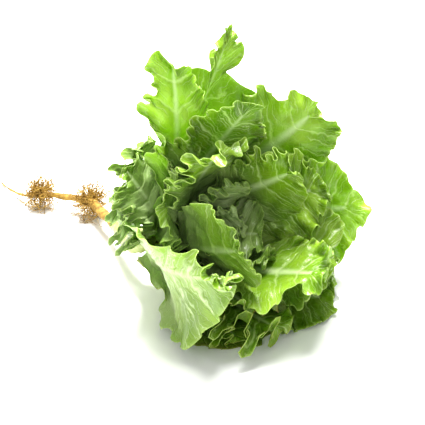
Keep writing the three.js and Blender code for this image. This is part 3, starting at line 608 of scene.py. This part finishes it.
def leaf_flesh():
    """The blade: waxy green skin, paler behind, that lets light through."""
    material, nodes, links = new_material("leaf_blade")
    tree = material.node_tree
    marks = {}
    for name in ("along", "across", "back", "flat_x", "flat_y", "painted_lightness", "ribbed", "browned"):
        node = nodes.new("ShaderNodeAttribute")
        node.attribute_name = name
        marks[name] = node.outputs["Fac"]
    veins = nodes.new("ShaderNodeGroup")
    veins.node_tree = vein_net()
    for socket in ("Along", "Across", "Flat X", "Flat Y", "Ribbed"):
        links.new(marks[socket.lower().replace(" ", "_")], veins.inputs[socket])
    coords = nodes.new("ShaderNodeTexCoord")
    mottle = nodes.new("ShaderNodeTexNoise")
    mottle.inputs["Scale"].default_value = 22
    mottle.inputs["Detail"].default_value = 6
    links.new(coords.outputs["Object"], mottle.inputs["Vector"])
    patch = spread_node(tree, mottle.outputs["Fac"], 0.35, 0.65)
    # Painted light and shade: each leaf's painted lightness paints the leaves in shade in the heart dark
    # green and the backlit upper leaves bright, and the mottle mixes random patches between the two.
    deep = mix_colour(tree, marks["painted_lightness"], (0.065, 0.15, 0.003, 1), (0.19, 0.36, 0.014, 1))
    light = mix_colour(tree, marks["painted_lightness"], (0.18, 0.32, 0.010, 1), (0.40, 0.60, 0.06, 1))
    green = mix_colour(tree, patch, deep, light)
    green = mix_colour(tree, spread_node(tree, marks["across"], 0.82, 1.0, 0.0, 0.35), green,
                       (0.40, 0.60, 0.06, 1))
    paler = math_node(tree, "MULTIPLY", marks["back"], spread_node(tree, marks["ribbed"], 0, 1, 0.16, 0.34))
    green = mix_colour(tree, paler, green, (0.42, 0.58, 0.18, 1))
    green = mix_colour(tree, math_node(tree, "MULTIPLY", veins.outputs["Net"], 0.22), green,
                       (0.42, 0.62, 0.14, 1))
    vein_share = math_node(tree, "MULTIPLY", veins.outputs["Vein"],
                           spread_node(tree, marks["ribbed"], 0, 1, 0.7, 1.0))
    vein_green = mix_colour(tree, marks["ribbed"], (0.62, 0.78, 0.32, 1), (0.68, 0.80, 0.44, 1))
    green = mix_colour(tree, vein_share, green, vein_green)
    near_rib = math_node(tree, "SUBTRACT", 1, spread_node(tree, marks["across"], 0.0, 0.16))
    low_down = math_node(tree, "SUBTRACT", 1, spread_node(tree, marks["flat_y"], 0.25, 1.1))
    pale = math_node(tree, "MAXIMUM", math_node(tree, "MULTIPLY", near_rib, 0.85),
                     math_node(tree, "MULTIPLY", low_down, 0.9))
    green = mix_colour(tree, pale, green, (0.66, 0.78, 0.42, 1))
    edge = spread_node(tree, marks["across"], 0.95, 1.0, 0.0, 0.55)
    green = mix_colour(tree, edge, green, (0.58, 0.76, 0.22, 1))
    scorch = math_node(tree, "MULTIPLY", spread_node(tree, marks["across"], 0.86, 0.98), marks["browned"])
    scorch = math_node(tree, "MULTIPLY", scorch, spread_node(tree, mottle.outputs["Fac"], 0.42, 0.56))
    green = mix_colour(tree, scorch, green, (0.26, 0.16, 0.025, 1))
    shader = nodes["Principled BSDF"]
    shader.inputs["Roughness"].default_value = 0.3
    shader.inputs["Specular IOR Level"].default_value = 0.42
    links.new(green, shader.inputs["Base Color"])
    height = math_node(tree, "ADD", math_node(tree, "MULTIPLY", veins.outputs["Vein"], -1.0),
                       math_node(tree, "MULTIPLY", veins.outputs["Net"], -0.35))
    height = math_node(tree, "ADD", height, math_node(tree, "MULTIPLY", mottle.outputs["Fac"], 0.5))
    bump = nodes.new("ShaderNodeBump")
    bump.inputs["Strength"].default_value = 0.55
    bump.inputs["Distance"].default_value = 0.0009
    links.new(height, bump.inputs["Height"])
    links.new(bump.outputs["Normal"], shader.inputs["Normal"])
    shader.inputs["Coat Weight"].default_value = 0.25
    shader.inputs["Coat Roughness"].default_value = 0.22
    through = nodes.new("ShaderNodeBsdfTranslucent")
    # Painted shade: the colour of the light let through also follows the painted lightness, so the shaded
    # inner leaves glow less than the backlit ones.
    glow = mix_colour(tree, marks["painted_lightness"], (0.20, 0.36, 0.004, 1), (0.50, 0.76, 0.02, 1))
    vein_glow = math_node(tree, "MULTIPLY", veins.outputs["Vein"], 0.4)
    glow = mix_colour(tree, vein_glow, glow, (0.70, 0.88, 0.12, 1))
    links.new(glow, through.inputs["Color"])
    links.new(bump.outputs["Normal"], through.inputs["Normal"])
    both = nodes.new("ShaderNodeMixShader")
    both.inputs["Fac"].default_value = 0.36
    links.new(shader.outputs["BSDF"], both.inputs[1])
    links.new(through.outputs["BSDF"], both.inputs[2])
    links.new(both.outputs[0], nodes["Material Output"].inputs["Surface"])
    return material


blade_material = leaf_flesh()
for leaf, field in zip(leaves, bend_fields):
    vertices, faces, marks = leaf_solid(leaf, field)
    name = leaf["node"] + "_blade" if leaf["node"] != "heart" else "heart_leaf_%d" % leaf["around"]
    piece = add_piece(name, vertices, faces.tolist(), blade_material, leaf["node"])
    for mark, values in marks.items():
        attribute = piece.data.attributes.new(mark, "FLOAT", "POINT")
        attribute.data.foreach_set("value", values.astype(np.float32))


# The root is a bent tan taproot with two tufts of fine side roots, dried and
# curled, and a thin tail. Every strand grows out of the taproot.
ROOT_LINE = [
    (-58, 34, -16.5), (-96, 58, -23), (-136, 80, -27), (-168, 78, -30),
    (-199, 66, -28), (-226, 66, -38), (-262, 78, -44.5), (-288, 88, -45.5),
]
ROOT_RADII = [6.2, 5.4, 4.6, 3.4, 3.4, 1.7, 1.2, 0.9]
TUFTS = [((-134, 79, -25), 25, 330), ((-199, 67, -27), 23, 300)]


def root_bark():
    material, nodes, links = new_material("root_bark")
    shader = nodes["Principled BSDF"]
    shader.inputs["Roughness"].default_value = 0.8
    coords = nodes.new("ShaderNodeTexCoord")
    grain = nodes.new("ShaderNodeTexNoise")
    grain.inputs["Scale"].default_value = 160
    grain.inputs["Detail"].default_value = 6
    ramp = nodes.new("ShaderNodeValToRGB")
    ramp.color_ramp.elements[0].color = (0.13, 0.065, 0.008, 1)
    ramp.color_ramp.elements[0].position = 0.3
    ramp.color_ramp.elements[1].color = (0.46, 0.29, 0.055, 1)
    ramp.color_ramp.elements[1].position = 0.68
    links.new(coords.outputs["Object"], grain.inputs["Vector"])
    links.new(grain.outputs["Fac"], ramp.inputs["Fac"])
    links.new(ramp.outputs["Color"], shader.inputs["Base Color"])
    return material


def strand_line(home, reach, draw):
    heading = draw.normal(size=3) * (1, 1, 0.8)
    heading /= np.linalg.norm(heading)
    swing = np.cross(draw.normal(size=3), heading)
    swing /= np.linalg.norm(swing)
    curl = draw.uniform(0.6, 3.4)
    f = np.linspace(0, 1, 11)[:, None]
    length = reach * draw.uniform(0.5, 1.15)
    p = home + (draw.uniform(-9, 9) * (1 - f)) * (1, 0, 0)
    p = p + heading * length * np.sin(f * curl) / max(1, curl / 2)
    p = p + swing * length * 0.8 * (1 - np.cos(f * curl)) / max(1, curl / 2)
    p = p + 0.8 * np.sin(f * 9 + draw.uniform(0, 6, 3))
    p[:, 2] = np.maximum(p[:, 2], 0.8 + draw.uniform(0, 1.2))
    return p


tap_line, tap_radii = smooth_line([CROWN + p for p in ROOT_LINE], ROOT_RADII, 90)


def bark_wobble(f, turns):
    return 1 + 0.12 * np.sin(2 * turns + 30 * f) + 0.1 * math.sin(61 * f) + 0.06 * np.sin(5 * turns + 90 * f)


root_vertices, root_faces = rod_mesh(tap_line, tap_radii, 16, bark_wobble)
root_parts = [root_vertices]
root_count = len(root_vertices)
draw = np.random.default_rng(5)
for at, reach, strands in TUFTS:
    for strand in range(strands):
        line = strand_line(CROWN + at, reach, draw)
        vertices, faces = rod_mesh(line, np.linspace(0.45, 0.18, len(line)) * draw.uniform(0.6, 1.4), 5)
        root_parts.append(vertices)
        root_faces += [tuple(v + root_count for v in face) for face in faces]
        root_count += len(vertices)
add_piece("root_body", np.vstack(root_parts), root_faces, root_bark(), "root")


# The ground is a wide pale sheet, lit softly from above and from behind on the
# left, so that the upper leaves glow and the heart stays dark.
GROUND_HALF = 6
GROUND_CORNERS = [(x * GROUND_HALF, y * GROUND_HALF, 0) for x, y in ((-1, -1), (1, -1), (1, 1), (-1, 1))]
ground_data = bpy.data.meshes.new("ground")
ground_data.from_pydata(GROUND_CORNERS, [], [(0, 1, 2, 3)])
ground = bpy.data.objects.new("ground", ground_data)
world_scene.collection.objects.link(ground)
ground_material, ground_nodes, ground_links = new_material("pale_ground")
ground_nodes["Principled BSDF"].inputs["Base Color"].default_value = (0.93, 0.93, 0.92, 1)
ground_nodes["Principled BSDF"].inputs["Roughness"].default_value = 0.7
ground_data.materials.append(ground_material)

sky = bpy.data.worlds.new("sky")
sky.use_nodes = True
sky.node_tree.nodes["Background"].inputs["Color"].default_value = (1.0, 1.0, 1.0, 1)
sky.node_tree.nodes["Background"].inputs["Strength"].default_value = 0.6
world_scene.world = sky

LAMP_AIM = Vector((0, 0, 0.1))
LAMPS = [
    ("back_lamp", (-0.5, 0.55, 1.55), 0.32, 56),
    ("top_lamp", (0.0, 0.15, 1.5), 0.6, 32),
    ("front_lamp", (0.2, -1.4, 0.7), 1.2, 6),
]
for name, place, size, power in LAMPS:
    lamp_data = bpy.data.lights.new(name, "AREA")
    lamp_data.size = size
    lamp_data.energy = power
    lamp = bpy.data.objects.new(name, lamp_data)
    world_scene.collection.objects.link(lamp)
    lamp.location = place
    lamp.rotation_mode = "QUATERNION"
    lamp.rotation_quaternion = (LAMP_AIM - Vector(place)).to_track_quat("-Z", "Y")
